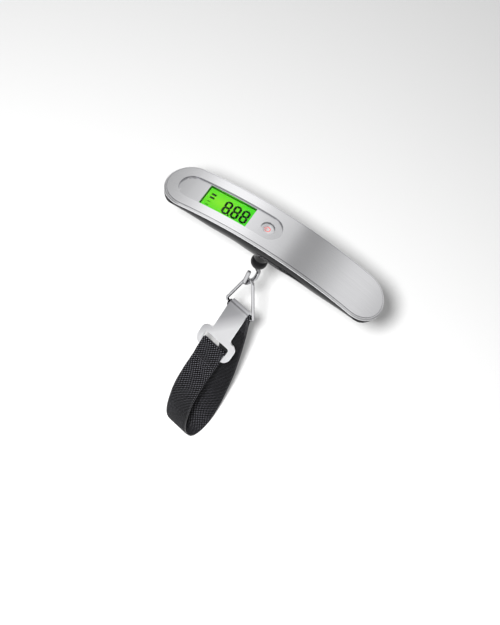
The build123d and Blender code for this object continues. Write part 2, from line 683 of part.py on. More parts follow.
def battery_wire(side, y, height):
    """One lead from a contact along the housing's wall to the switch board's edge."""
    start = (BATTERY_X - 13.2, side * 1.4, height)
    route = [(24.0, side * 1.6, height), (17.0, y, -8.6), (6.0, y, -7.6), (-0.1, y - 2.2, -8.7)]
    return inner_wire(start, route)


def battery_wire_red():
    """Lead from the cell's top contact."""
    return battery_wire(1, 8.6, BATTERY_TOP_Z + 0.7)


def battery_wire_black():
    """Lead from the cell's side contact."""
    return battery_wire(-1, 6.9, BATTERY_TOP_Z - 1.9)


def gauge_wires():
    """Four short leads from the gauges up to the main board."""
    wires = []
    for i in range(4):
        y = -3.6 + 2.4 * i
        route = [(-19.6, y, BEAM_TOP + 0.6), (-20.6, y, BEAM_TOP + 3.8)]
        wires.append(inner_wire((STEM_X - GAUGE_X - 1.0, y, BEAM_TOP + 0.6), route).solid())
    return wires


# ---- write every sub-part ------------------------------------------------------------------------------
os.makedirs("parts", exist_ok=True)

PARTS = {
    "cover_plate": cover_plate,
    "top_shell": top_shell,
    "window_lens": window_lens,
    "lcd_glass": lcd_glass,
    "backlight_guide": backlight_guide,
    "backlight_lamp": backlight_lamp,
    "display_connector": display_connector,
    "main_board": main_board,
    "control_chip": control_chip,
    "switch_board": switch_board,
    "switch_body": switch_body,
    "switch_plunger": switch_plunger,
    "power_button": power_button,
    "lower_housing": lower_housing,
    "battery_hatch": battery_hatch,
    "housing_screws": housing_screws,
    "load_cell": load_cell,
    "strain_gauges": strain_gauges,
    "load_cell_screws": load_cell_screws,
    "stem_bush": stem_bush,
    "stem_washer": stem_washer,
    "stem_nut": stem_nut,
    "swivel_stem": swivel_stem,
    "swivel_ball": swivel_ball,
    "hook": hook,
    "triangle_ring": triangle_ring,
    "clip_plate": clip_plate,
    "strap_back": strap_back,
    "strap_front": strap_front,
    "strap_back_stitching": strap_back_stitching,
    "strap_front_stitching": strap_front_stitching,
    "coin_cell": coin_cell,
    "battery_holder": battery_holder,
    "contact_top": contact_top,
    "contact_side": contact_side,
    "battery_wire_red": battery_wire_red,
    "battery_wire_black": battery_wire_black,
    "gauge_wires": gauge_wires,
}

for node, build in PARTS.items():
    save(node, build())
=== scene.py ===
"""Looks of a digital luggage scale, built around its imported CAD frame.

The CAD nodes keep their shapes and get their finishes here. The webbing, its thread, the display's
segments and the button's icon are made here, and a small studio holds the camera, floor and lights.
"""
import json
import logging
import math
from dataclasses import dataclass, field
from enum import Enum
from typing import Any, Sequence

import bmesh
import bpy
from mathutils import Matrix, Vector


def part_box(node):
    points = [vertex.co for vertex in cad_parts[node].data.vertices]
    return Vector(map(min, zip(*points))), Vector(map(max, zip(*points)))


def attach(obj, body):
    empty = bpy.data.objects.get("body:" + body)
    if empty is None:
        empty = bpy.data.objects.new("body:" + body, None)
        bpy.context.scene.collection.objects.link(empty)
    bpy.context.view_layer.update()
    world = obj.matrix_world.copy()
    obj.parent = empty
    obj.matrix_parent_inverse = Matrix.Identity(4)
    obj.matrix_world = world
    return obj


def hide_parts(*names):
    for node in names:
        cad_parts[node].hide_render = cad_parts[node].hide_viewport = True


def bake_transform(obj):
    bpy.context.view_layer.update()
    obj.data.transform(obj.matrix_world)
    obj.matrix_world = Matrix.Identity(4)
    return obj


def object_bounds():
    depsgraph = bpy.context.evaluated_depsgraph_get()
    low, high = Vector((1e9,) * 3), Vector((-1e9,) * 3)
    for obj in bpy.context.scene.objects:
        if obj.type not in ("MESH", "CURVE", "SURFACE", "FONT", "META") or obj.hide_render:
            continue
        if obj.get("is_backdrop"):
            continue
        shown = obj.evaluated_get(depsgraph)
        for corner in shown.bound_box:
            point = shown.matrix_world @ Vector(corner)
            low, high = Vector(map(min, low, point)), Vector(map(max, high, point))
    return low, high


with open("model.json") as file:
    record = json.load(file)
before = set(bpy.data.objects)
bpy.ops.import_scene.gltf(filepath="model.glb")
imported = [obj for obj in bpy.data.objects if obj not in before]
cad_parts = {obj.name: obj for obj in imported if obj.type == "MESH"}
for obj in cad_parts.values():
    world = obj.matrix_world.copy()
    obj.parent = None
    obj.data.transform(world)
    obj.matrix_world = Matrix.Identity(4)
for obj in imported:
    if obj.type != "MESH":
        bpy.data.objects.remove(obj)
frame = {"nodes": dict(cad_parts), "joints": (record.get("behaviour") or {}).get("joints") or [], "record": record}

LOG = logging.getLogger("luggage_scale")
MM = 0.001

Pair = tuple[float, float]
Triple = tuple[float, float, float]


# ---- colour, nodes and meshes ------------------------------------------------------------------
def linear(code: str) -> tuple[float, float, float, float]:
    """Turn an sRGB hex colour into linear light.

    Args:
        code: Six hex digits.

    Returns:
        Linear red, green, blue and an alpha of 1.
    """
    parts = [int(code[i:i + 2], 16) / 255 for i in (0, 2, 4)]
    lit = [p / 12.92 if p <= 0.04045 else ((p + 0.055) / 1.055) ** 2.4 for p in parts]
    return (lit[0], lit[1], lit[2], 1.0)


def add(tree: bpy.types.NodeTree, kind: str, feeds: dict[Any, Any] | None = None,
        **settings: Any) -> bpy.types.Node:
    """Add one node with its settings, values and links.

    Args:
        tree: Node tree that gets the node.
        kind: Node type name.
        feeds: Input name or number to a plain value or an output socket.
        **settings: Properties of the node itself.

    Returns:
        The new node.
    """
    made = tree.nodes.new(kind)
    for key, value in settings.items():
        setattr(made, key, value)
    for key, value in (feeds or {}).items():
        if isinstance(value, bpy.types.NodeSocket):
            tree.links.new(value, made.inputs[key])
        else:
            made.inputs[key].default_value = value
    return made


def ramp(tree: bpy.types.NodeTree, source: bpy.types.NodeSocket,
         stops: Sequence[tuple[float, Any]]) -> bpy.types.NodeSocket:
    """Add a colour ramp and return its colour.

    Args:
        tree: Node tree that gets the ramp.
        source: Value that drives it.
        stops: Place and colour (hex code or grey level) of each stop.

    Returns:
        The ramp's colour output.
    """
    made = add(tree, "ShaderNodeValToRGB", {0: source})
    elements = made.color_ramp.elements
    while len(elements) < len(stops):
        elements.new(0.5)
    for element, (place, colour) in zip(elements, stops):
        element.position = place
        element.color = linear(colour) if isinstance(colour, str) else (colour, colour, colour, 1.0)
    return made.outputs[0]


def piece(name: str, points: Sequence[Any], faces: Sequence[Sequence[int]],
          smooth: bool = True) -> bpy.types.Object:
    """Make a mesh object at the origin from points and faces.

    Args:
        name: Name of the piece.
        points: Vertex places in metres.
        faces: Vertex numbers of each face.
        smooth: Whether the faces are shaded smooth.

    Returns:
        The linked object.
    """
    mesh = bpy.data.meshes.new(name)
    mesh.from_pydata([tuple(p) for p in points], [], [tuple(f) for f in faces])
    mesh.polygons.foreach_set("use_smooth", [smooth] * len(mesh.polygons))
    mesh.update()
    made = bpy.data.objects.new(name, mesh)
    bpy.context.scene.collection.objects.link(made)
    return made


def dress(target: bpy.types.Object, material: bpy.types.Material) -> None:
    """Give a piece or a CAD node one material."""
    if not target.material_slots:
        target.data.materials.append(material)
    for held in target.material_slots:
        held.material = material


# ---- finishes ------------------------------------------------------------------------------------
@dataclass(frozen=True)
class Finish:
    """A plain finish that the others build on: one colour, a fine grain and an even gloss."""

    name: str
    colour: str
    metallic: float = 0.0
    roughness: float = 0.4
    ior: float = 1.5
    specular: float = 0.5
    edge: str = "FFFFFF"
    grain_mm: float = 0.4
    cloud_mm: float = 12
    grain_depth: float = 0.05
    mottle: float = 0.04

    def material(self) -> bpy.types.Material:
        """Build the material.

        Returns:
            The finished material.
        """
        made = bpy.data.materials.new(self.name)
        made.use_nodes = True
        tree = made.node_tree
        tree.nodes.clear()
        shader = add(tree, "ShaderNodeBsdfPrincipled", {
            "Base Color": linear(self.colour), "Metallic": self.metallic, "Roughness": self.roughness,
            "Specular IOR Level": self.specular, "Specular Tint": linear(self.edge)})
        if self.metallic < 0.5:
            shader.inputs["IOR"].default_value = self.ior
        self.pattern(tree, shader)
        add(tree, "ShaderNodeOutputMaterial", {"Surface": shader.outputs[0]})
        return made

    def pattern(self, tree: bpy.types.NodeTree, shader: bpy.types.Node) -> None:
        """Add the surface's grain and slight unevenness of colour and gloss.

        Args:
            tree: Node tree of the material.
            shader: Its principled shader.
        """
        place = add(tree, "ShaderNodeTexCoord").outputs["Object"]
        grain = add(tree, "ShaderNodeTexNoise", {
            "Vector": place, "Scale": 1 / (self.grain_mm * MM), "Detail": 3.0})
        cloud = add(tree, "ShaderNodeTexNoise", {
            "Vector": place, "Scale": 1 / (self.cloud_mm * MM), "Detail": 2.0})
        tone = add(tree, "ShaderNodeMix", {
            0: cloud.outputs[0], 6: linear(self.colour), 7: self.shade(1 - 2 * self.mottle)},
                   data_type="RGBA")
        tree.links.new(tone.outputs[2], shader.inputs["Base Color"])
        gloss = add(tree, "ShaderNodeMapRange", {
            0: grain.outputs[0], 3: self.roughness * 0.9, 4: self.roughness * 1.12})
        tree.links.new(gloss.outputs[0], shader.inputs["Roughness"])
        bump = add(tree, "ShaderNodeBump", {
            "Strength": 0.6, "Distance": self.grain_depth * MM, "Height": grain.outputs[0]})
        tree.links.new(bump.outputs[0], shader.inputs["Normal"])

    def shade(self, factor: float) -> tuple[float, float, float, float]:
        """The finish's colour made darker or lighter by a factor."""
        red, green, blue, _ = linear(self.colour)
        return (red * factor, green * factor, blue * factor, 1.0)


@dataclass(frozen=True)
class BrushedSteel(Finish):
    """Stainless sheet brushed along its length: long fine scratches that streak the reflection."""

    streak_mm: float = 0.35      # drawn coarser than real brushing, so that it shows
    streak_length_mm: float = 40.0
    streak_depth: float = 0.004

    def pattern(self, tree: bpy.types.NodeTree, shader: bpy.types.Node) -> None:
        """Add scratches along X to the gloss, the colour and the bump.

        Args:
            tree: Node tree of the material.
            shader: Its principled shader.
        """
        place = add(tree, "ShaderNodeTexCoord").outputs["Object"]
        slow, fast = 1 / self.streak_length_mm, 1 / self.streak_mm
        along = add(tree, "ShaderNodeMapping", {"Vector": place, "Scale": (slow, fast, slow)})
        streak = add(tree, "ShaderNodeTexNoise", {"Vector": along.outputs[0], "Scale": 1 / MM, "Detail": 4.0})
        tone = add(tree, "ShaderNodeMix", {
            0: streak.outputs[0], 6: linear(self.colour), 7: self.shade(1 - 3 * self.mottle)},
                   data_type="RGBA")
        tree.links.new(tone.outputs[2], shader.inputs["Base Color"])
        gloss = add(tree, "ShaderNodeMapRange", {0: streak.outputs[0], 1: 0.3, 2: 0.7,
                                                 3: self.roughness * 0.85, 4: self.roughness * 1.15})
        tree.links.new(gloss.outputs[0], shader.inputs["Roughness"])
        bump = add(tree, "ShaderNodeBump", {
            "Strength": 0.5, "Distance": self.streak_depth * MM, "Height": streak.outputs[0]})
        tree.links.new(bump.outputs[0], shader.inputs["Normal"])


@dataclass(frozen=True)
class SatinStripWithPaintedHighlight(Finish):
    """Satin steel strip with a painted highlight towards its free outer corner and painted shade away from it."""

    # Colour of the painted highlight.
    bright: str = "F4F4F6"

    def pattern(self, tree: bpy.types.NodeTree, shader: bpy.types.Node) -> None:
        """Add the plain grain, then a painted highlight and painted shade across the plate.

        Args:
            tree: Node tree of the material.
            shader: Its principled shader.
        """
        super().pattern(tree, shader)
        low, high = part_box("clip_plate")
        place = add(tree, "ShaderNodeTexCoord").outputs["Object"]
        split = add(tree, "ShaderNodeSeparateXYZ", {0: place})
        across = add(tree, "ShaderNodeMapRange", {0: split.outputs[0], 1: low.x, 2: high.x}).outputs[0]
        down = add(tree, "ShaderNodeMapRange", {0: split.outputs[2], 1: high.z, 2: low.z}).outputs[0]
        # Painted highlight and shade: the base colour runs from darker grey to near white towards high x and low z
        # of the plate, standing in for its reflection.
        painted_highlight_share = add(tree, "ShaderNodeMath", {0: across, 1: 0.9, 2: down}, operation="MULTIPLY_ADD").outputs[0]
        tone = ramp(tree, painted_highlight_share, [(0.35, "A4A4A7"), (0.62, self.colour), (0.95, self.bright)])
        tree.links.new(tone, shader.inputs["Base Color"])


@dataclass(frozen=True)
class WovenNylon(Finish):
    """Woven nylon webbing: plain weave cells on the piece's own UV map, each a hump of fine filaments with a
    painted highlight on its crown.
    """

    cell_mm: float = 2.0          # drawn coarser than real webbing, so that it shows
    filament_mm: float = 0.2

    def pattern(self, tree: bpy.types.NodeTree, shader: bpy.types.Node) -> None:
        """Add yarn crowns with a painted highlight, painted shade in the gaps between them, and filaments along
        each yarn.

        Args:
            tree: Node tree of the material.
            shader: Its principled shader.
        """
        flat = add(tree, "ShaderNodeUVMap", uv_map="webbing_mm").outputs[0]
        split = add(tree, "ShaderNodeSeparateXYZ", {0: flat})
        waves = []
        for axis in (0, 1):
            turn = add(tree, "ShaderNodeMath", {0: split.outputs[axis], 1: 2 * math.pi / self.cell_mm},
                       operation="MULTIPLY")
            waves.append(add(tree, "ShaderNodeMath", {0: turn.outputs[0]}, operation="COSINE").outputs[0])
        check = add(tree, "ShaderNodeMath", {0: waves[0], 1: waves[1]}, operation="MULTIPLY").outputs[0]
        crown = add(tree, "ShaderNodeMapRange", {0: check, 1: -1.0, 2: 1.0}).outputs[0]
        thread = add(tree, "ShaderNodeMapping", {
            "Vector": flat, "Scale": (1 / self.filament_mm, 0.2 / self.filament_mm, 1.0)})
        strands = add(tree, "ShaderNodeTexNoise", {"Vector": thread.outputs[0], "Scale": 1.0, "Detail": 3.0})
        raised = add(tree, "ShaderNodeMath", {0: strands.outputs[0], 1: 0.35, 2: crown},
                     operation="MULTIPLY_ADD")
        height = raised.outputs[0]
        # Painted highlight and shade: the base colour is lighter grey on the yarn crowns and black in the gaps
        # between them.
        colour = ramp(tree, height, [(0.7, "000000"), (0.88, self.colour), (1.0, "4A4A4E")])
        tree.links.new(colour, shader.inputs["Base Color"])
        gloss = add(tree, "ShaderNodeMapRange", {
            0: height, 3: self.roughness * 1.25, 4: self.roughness * 0.85})
        tree.links.new(gloss.outputs[0], shader.inputs["Roughness"])
        bump = add(tree, "ShaderNodeBump", {"Strength": 1.0, "Distance": 0.2 * MM, "Height": height})
        tree.links.new(bump.outputs[0], shader.inputs["Normal"])


@dataclass(frozen=True)
class ClearWindow(Finish):
    """Clear moulded acrylic: lets the display through with a faint gloss."""

    def pattern(self, tree: bpy.types.NodeTree, shader: bpy.types.Node) -> None:
        """Make the shader clear.

        Args:
            tree: Node tree of the material.
            shader: Its principled shader.
        """
        shader.inputs["Transmission Weight"].default_value = 1.0


@dataclass(frozen=True)
class LitGlass(Finish):
    """Back-lit liquid-crystal glass: a green glow that is yellower left of its middle."""

    glow: float = 1.0
    near: str = "8CF02D"
    far: str = "46E11E"
    middle_share: float = 0.38
    reach: Pair = (20 * MM, 11 * MM)

    def pattern(self, tree: bpy.types.NodeTree, shader: bpy.types.Node) -> None:
        """Add the glow.

        Args:
            tree: Node tree of the material.
            shader: Its principled shader.
        """
        low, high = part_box("lcd_glass")
        place = add(tree, "ShaderNodeTexCoord").outputs["Object"]
        x = low.x * (1 - self.middle_share) + high.x * self.middle_share
        shift = add(tree, "ShaderNodeMapping", {
            "Vector": place, "Location": (-x, -(low.y + high.y) / 2, -high.z)})
        scaled = add(tree, "ShaderNodeMapping", {
            "Vector": shift.outputs[0], "Scale": (1 / self.reach[0], 1 / self.reach[1], 1.0)})
        distance = add(tree, "ShaderNodeVectorMath", {0: scaled.outputs[0]}, operation="LENGTH")
        colour = ramp(tree, distance.outputs["Value"], [(0.0, self.near), (1.0, self.far)])
        tree.links.new(colour, shader.inputs["Emission Color"])
        shader.inputs["Emission Strength"].default_value = self.glow


class Part(Enum):
    """Finishes by the record's material slot."""

    BRUSHED_COVER = BrushedSteel("brushed_stainless_sheet", "E4E4E6", metallic=1.0, roughness=0.16)
    SILVER_SHELL = Finish("silver_plated_abs", "D2D2D4", metallic=1.0, roughness=0.2, mottle=0.01,
                          grain_depth=0.003)
    WINDOW = ClearWindow("clear_acrylic", "FFFFFF", roughness=0.03, ior=1.1, specular=0.1)
    LCD = LitGlass("liquid_crystal_glass", "0A1E06", roughness=0.3, specular=0.1, glow=0.92)
    LIGHT_GUIDE = Finish("frosted_acrylic", "C8E6C8", roughness=0.5)
    LAMP = Finish("white_lamp_case", "F0F2DC", roughness=0.3)
    ZEBRA_RUBBER = Finish("striped_silicone_rubber", "B4B0AC", roughness=0.7)
    BOARD = Finish("glass_epoxy_board", "0E5A2A", roughness=0.35, mottle=0.12)
    CHIP = Finish("moulded_black_epoxy", "1A1A1A", roughness=0.6)
    BUTTON = Finish("silver_painted_abs", "DCDCDE", metallic=1.0, roughness=0.36, mottle=0.01)
    BLACK_HOUSING = Finish("gloss_black_abs", "030304", roughness=0.16, specular=0.09, grain_depth=0.003)
    SCREW_STEEL = Finish("zinc_plated_steel", "B0B0AE", metallic=1.0, roughness=0.35)
    BEAM_ALUMINIUM = BrushedSteel("milled_aluminium", "D8D8D9", metallic=1.0, roughness=0.32)
    GAUGE_FOIL = Finish("amber_polyimide_film", "B46A1E", roughness=0.3)
    NYLON = Finish("natural_nylon", "E6E2D6", roughness=0.45)
    STEM_STEEL = Finish("turned_steel", "C4C4C6", metallic=1.0, roughness=0.2)
    BALL = Finish("black_acetal_ball", "050506", roughness=0.36, specular=0.16, grain_depth=0.004)
    HOOK_CHROME = Finish("nickel_plated_wire", "BEBEC0", metallic=1.0, roughness=0.1, edge="505050",
                         grain_depth=0.002, mottle=0.02)
    RING_CHROME = Finish("nickel_plated_ring_wire", "BEBEC0", metallic=1.0, roughness=0.1, edge="505050",
                         grain_depth=0.002, mottle=0.02)
    CLIP_STEEL = SatinStripWithPaintedHighlight("satin_stainless_strip", "B4B4B7", metallic=1.0, roughness=0.3, grain_mm=0.25,
                            grain_depth=0.002)
    WEBBING = WovenNylon("woven_nylon_webbing", "030304", roughness=0.45, specular=0.07)
    THREAD = Finish("bonded_polyester_thread", "1C1C1E", roughness=0.45)
    CELL_STEEL = Finish("nickel_plated_can", "C8C8C6", metallic=1.0, roughness=0.25)
    CONTACT_METAL = Finish("phosphor_bronze_strip", "C8A05A", metallic=1.0, roughness=0.3)
    RED_LEAD = Finish("red_pvc_insulation", "A01414", roughness=0.4)
    BLACK_LEAD = Finish("black_pvc_insulation", "141414", roughness=0.4)
    GAUGE_LEAD = Finish("white_pvc_insulation", "E0E0DA", roughness=0.4)
    SEGMENT_INK = Finish("dark_liquid_crystal", "020302", roughness=0.5, specular=0.1)
    SEGMENT_FAINT = Finish("half_dark_liquid_crystal", "1E5A14", roughness=0.5, specular=0.1)
    ICON_INK = Finish("red_pad_print", "A83834", roughness=0.5)


FINISHES: dict[Part, bpy.types.Material] = {part: part.value.material() for part in Part}


# ---- frames that the pieces are placed by ------------------------------------------------------
@dataclass(frozen=True)
class Cover:
    """The cover's arch, which the display and the button sit on."""

    arch_radius: float = 276 * MM

    def at(self, x: float) -> Matrix:
        """Frame on the cover at x: X along the handle, Z out of the cover."""
        angle = math.asin(x / self.arch_radius)
        height = math.sqrt(self.arch_radius ** 2 - x ** 2) - self.arch_radius
        return Matrix.Translation((x, 0, height)) @ Matrix.Rotation(angle, 4, "Y")


def joint(name: str) -> dict[str, Any]:
    """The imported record's joint of that name."""
    return next(j for j in frame["joints"] if j["name"] == name)


def hanging_frame() -> Matrix:
    """Frame of the hanging pieces: origin on the ring's bar, X along the bar, Z to the ring's apex."""
    bar = joint("strap_swing")
    origin = Vector(bar["pos_m"])
    along = Vector(bar["axis"]).normalized()
    apex = Vector(joint("ring_swing")["pos_m"]) - origin
    up = (apex - along * apex.dot(along)).normalized()
    return Matrix.Translation(origin) @ Matrix((along, up.cross(along), up)).transposed().to_4x4()


# ---- display ---------------------------------------------------------------------------------------
@dataclass
class Display:
    """Dark segments on the lit glass under the window, and a painted shadow of the window's edge along the glass's
    top and left.
    """

    cover: Cover
    centre_x: float = -37.0 * MM
    glass_depth: float = 2.9 * MM
    ink: float = 0.06 * MM
    clearance: float = 0.004 * MM
    digit_height: float = 10.7 * MM
    digit_width: float = 5.2 * MM
    stroke: float = 1.5 * MM
    gap: float = 0.05 * MM
    lean: float = -0.03
    digit_starts: tuple[float, ...] = (-2.3 * MM, 4.0 * MM, 10.2 * MM)
    digit_low: float = -6.5 * MM
    # Outer size of the painted shadow on the glass, and the width of its strips.
    mask_size: Pair = (33.2 * MM, 16.4 * MM)
    mask_width: float = 0.75 * MM
    mark_x: float = -13.4 * MM
    marks: tuple[Triple, ...] = ((2.5 * MM, 3.2 * MM, 1.4 * MM), (-0.3 * MM, 3.2 * MM, 1.4 * MM))
    faint_marks: tuple[Triple, ...] = ((-3.3 * MM, 2.2 * MM, 0.5 * MM), (-6.2 * MM, 2.4 * MM, 0.5 * MM))

    def segments(self) -> list[list[Pair]]:
        """Outlines of the seven bars of one digit, each a six-sided bar with pointed ends."""
        width, height, half = self.digit_width, self.digit_height, self.stroke / 2
        left, right, low, middle, high = half, width - half, half, height / 2, height - half
        flats = [((left, right), y) for y in (low, middle, high)]
        uprights = [((a, b), x) for a, b in ((low, middle), (middle, high)) for x in (left, right)]
        outlines = []
        for (a, b), y in flats:
            a, b = a + self.gap, b - self.gap
            outlines.append([(a, y), (a + half, y + half), (b - half, y + half),
                             (b, y), (b - half, y - half), (a + half, y - half)])
        for (a, b), x in uprights:
            a, b = a + self.gap, b - self.gap
            outlines.append([(x, a), (x + half, a + half), (x + half, b - half),
                             (x, b), (x - half, b - half), (x - half, a + half)])
        return outlines

    def place(self, outline: Sequence[Pair], shift: Pair) -> list[Pair]:
        """Lean an outline and move it to its place on the glass."""
        return [(x + self.lean * y + shift[0], y + shift[1]) for x, y in outline]

    def bar(self, y: float, length: float, thickness: float) -> list[Pair]:
        """Outline of one flat mark in the column at the display's left."""
        x = self.mark_x
        return [(x, y), (x + length, y), (x + length, y + thickness), (x, y + thickness)]

    def raised(self, name: str, outlines: Sequence[Sequence[Pair]], part: Part) -> bpy.types.Object:
        """Thin prisms on the glass.

        Args:
            name: Name of the piece.
            outlines: Outlines on the glass, anticlockwise or clockwise.
            part: Its finish.

        Returns:
            The piece.
        """
        turn = self.cover.at(self.centre_x)
        mesh = bmesh.new()
        for outline in outlines:
            rings = [[mesh.verts.new(turn @ Vector((x, y, -self.glass_depth + lift))) for x, y in outline]
                     for lift in (self.clearance, self.ink)]
            count = len(outline)
            mesh.faces.new(rings[0])
            mesh.faces.new(rings[1])
            for i in range(count):
                j = (i + 1) % count
                mesh.faces.new((rings[0][i], rings[0][j], rings[1][j], rings[1][i]))
        bmesh.ops.recalc_face_normals(mesh, faces=mesh.faces)
        made = piece(name, [], [], False)
        mesh.to_mesh(made.data)
        mesh.free()
        dress(made, FINISHES[part])
        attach(made, "handle")
        return made

    def build(self) -> list[bpy.types.Object]:
        """Make the digits, the marks and a painted shadow of the window's edge along the top and left edges of the
        glass.
        """
        digits = [self.place(outline, (start, self.digit_low))
                  for start in self.digit_starts for outline in self.segments()]
        dot = self.stroke * 0.8
        point = [(-dot, 0), (0, 0), (0, dot), (-dot, dot)]
        digits.append(self.place(point, (self.digit_starts[1] - 0.2 * MM, self.digit_low)))
        right, top = self.mask_size[0] / 2, self.mask_size[1] / 2
        inner_x, inner_y = self.mask_width - right, top - self.mask_width
        # Painted shadow: dark strips in the digits' ink along the glass's top and left edges stand in for the
        # shadow that the window's recess casts.
        painted_shadow_strips = [[(-right, inner_y), (right, inner_y), (right, top), (-right, top)],
                [(-right, -top), (inner_x, -top), (inner_x, inner_y), (-right, inner_y)]]
        strong = digits + [self.bar(*mark) for mark in self.marks] + painted_shadow_strips
        faint = [self.bar(*mark) for mark in self.faint_marks]
        return [self.raised("display_segments_and_painted_shadow", strong, Part.SEGMENT_INK),
                self.raised("display_faint_marks", faint, Part.SEGMENT_FAINT)]


# ---- button icon -----------------------------------------------------------------------------------
@dataclass
class ButtonIcon:
    """Printed power icon in the button's dish: an open ring and a bar."""

    cover: Cover
    centre_x: float = -7.9 * MM
    rim_depth: float = 2.5 * MM
    dish_radius: float = 14.0 * MM
    dish_rise: float = 13.6 * MM
    ring_radius: float = 1.75 * MM
    line: float = 0.42 * MM
    ink: float = 0.03 * MM
    gap_deg: float = 38.0
    bar_low: float = 0.5 * MM
    bar_high: float = 2.4 * MM
    steps: int = 40
    turn_deg: float = 90.0

    def on_dish(self, x: float, y: float, lift: float) -> Vector:
        """A point of the dish's surface, lifted out of it."""
        height = self.dish_rise - math.sqrt(self.dish_radius ** 2 - x * x - y * y)
        spun = Matrix.Rotation(math.radians(self.turn_deg), 3, "Z") @ Vector((x, y, 0))
        return self.cover.at(self.centre_x) @ Vector((spun.x, spun.y, height - self.rim_depth + lift))

    def strip(self, centres: Sequence[Pair], across: Sequence[Pair]) -> tuple[list, list]:
        """Points and faces of a closed ribbon along a line on the dish."""
        points, faces = [], []
        for (x, y), (nx, ny) in zip(centres, across):
            for side, lift in ((-1, 0.0), (1, 0.0), (1, self.ink), (-1, self.ink)):
                half = side * self.line / 2
                points.append(self.on_dish(x + nx * half, y + ny * half, lift))
        last = len(centres) - 1
        for i in range(last):
            a, b = 4 * i, 4 * i + 4
            faces += [(a + k, a + (k + 1) % 4, b + (k + 1) % 4, b + k) for k in range(4)]
        faces += [(0, 1, 2, 3), (4 * last + 3, 4 * last + 2, 4 * last + 1, 4 * last)]
        return points, faces

    def build(self) -> list[bpy.types.Object]:
        """Make the icon."""
        start = math.radians(90 + self.gap_deg)
        sweep = math.radians(360 - 2 * self.gap_deg)
        angles = [start + sweep * i / self.steps for i in range(self.steps + 1)]
        ring = [(self.ring_radius * math.cos(a), self.ring_radius * math.sin(a)) for a in angles]
        outward = [(math.cos(a), math.sin(a)) for a in angles]
        heights = [self.bar_low + (self.bar_high - self.bar_low) * i / 4 for i in range(5)]
        points, faces = self.strip(ring, outward)
        more, sides = self.strip([(0.0, y) for y in heights], [(1.0, 0.0)] * 5)
        faces += [tuple(len(points) + k for k in side) for side in sides]
        made = piece("button_icon", points + more, faces)
        mesh = bmesh.new()
        mesh.from_mesh(made.data)
        bmesh.ops.recalc_face_normals(mesh, faces=mesh.faces)
        mesh.to_mesh(made.data)
        mesh.free()
        dress(made, FINISHES[Part.ICON_INK])
        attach(made, "power_button")
        return [made]


